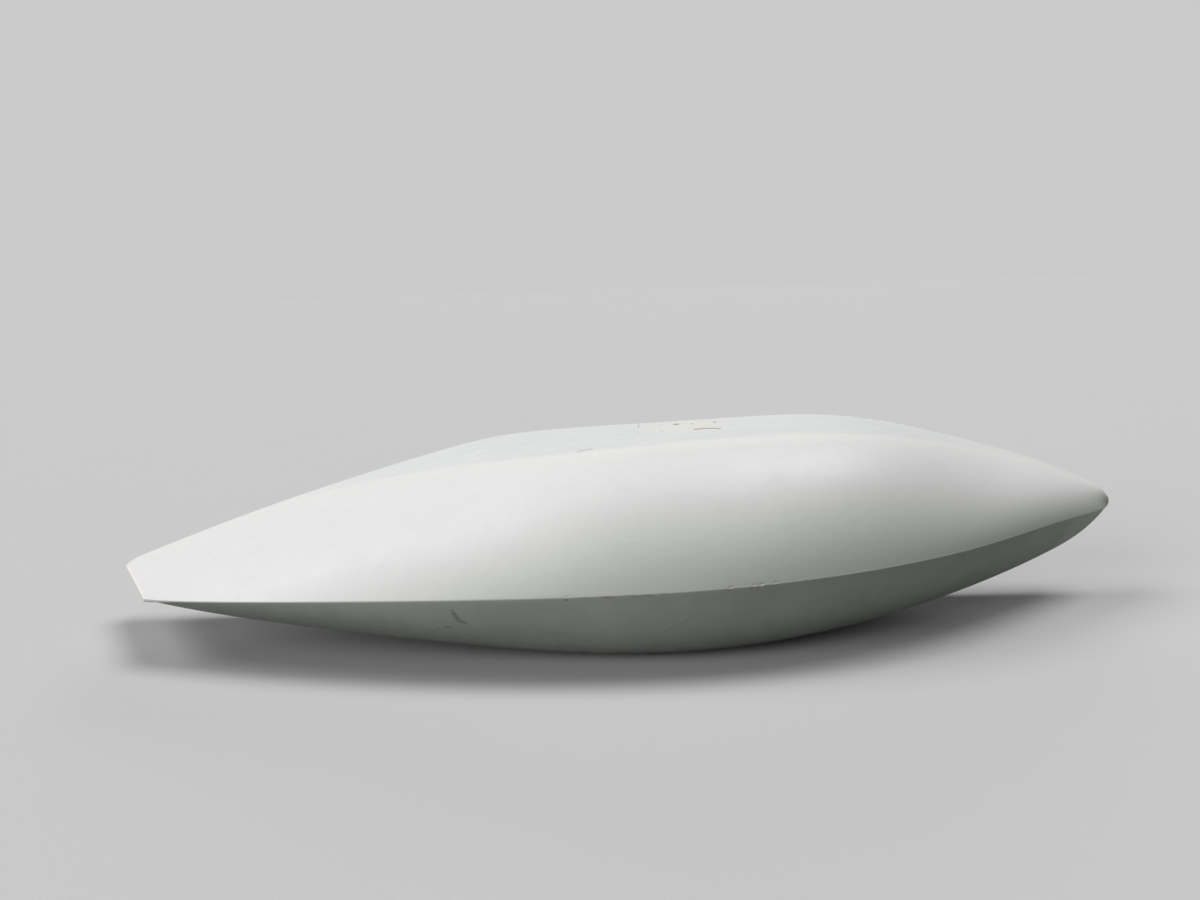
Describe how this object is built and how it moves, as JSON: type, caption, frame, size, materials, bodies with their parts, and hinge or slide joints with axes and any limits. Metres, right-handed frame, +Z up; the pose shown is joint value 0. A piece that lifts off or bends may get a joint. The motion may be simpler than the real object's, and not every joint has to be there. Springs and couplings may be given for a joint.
{
  "type": "aircraft fairing",
  "caption": "Moulded half-body fairing shell for the side of an airframe, with a sharp chine, a soft shoulder, a thin raked tail and an open back.",
  "frame": {"origin": "under the middle of the bounding box, on the level that the shell rests on", "axes": "+X from the thin tail to the nose, +Y out of the open back, +Z up; the trimmed rim stands upright in the plane at the greatest Y"},
  "size_m": [0.9104, 0.1899, 0.1773],
  "materials": {
    "painted_laminate": "satin white paint on glass-fibre laminate, bare laminate inside"
  },
  "bodies": {
    "root": {"fairing_shell": "painted_laminate"}
  },
  "joints": []
}
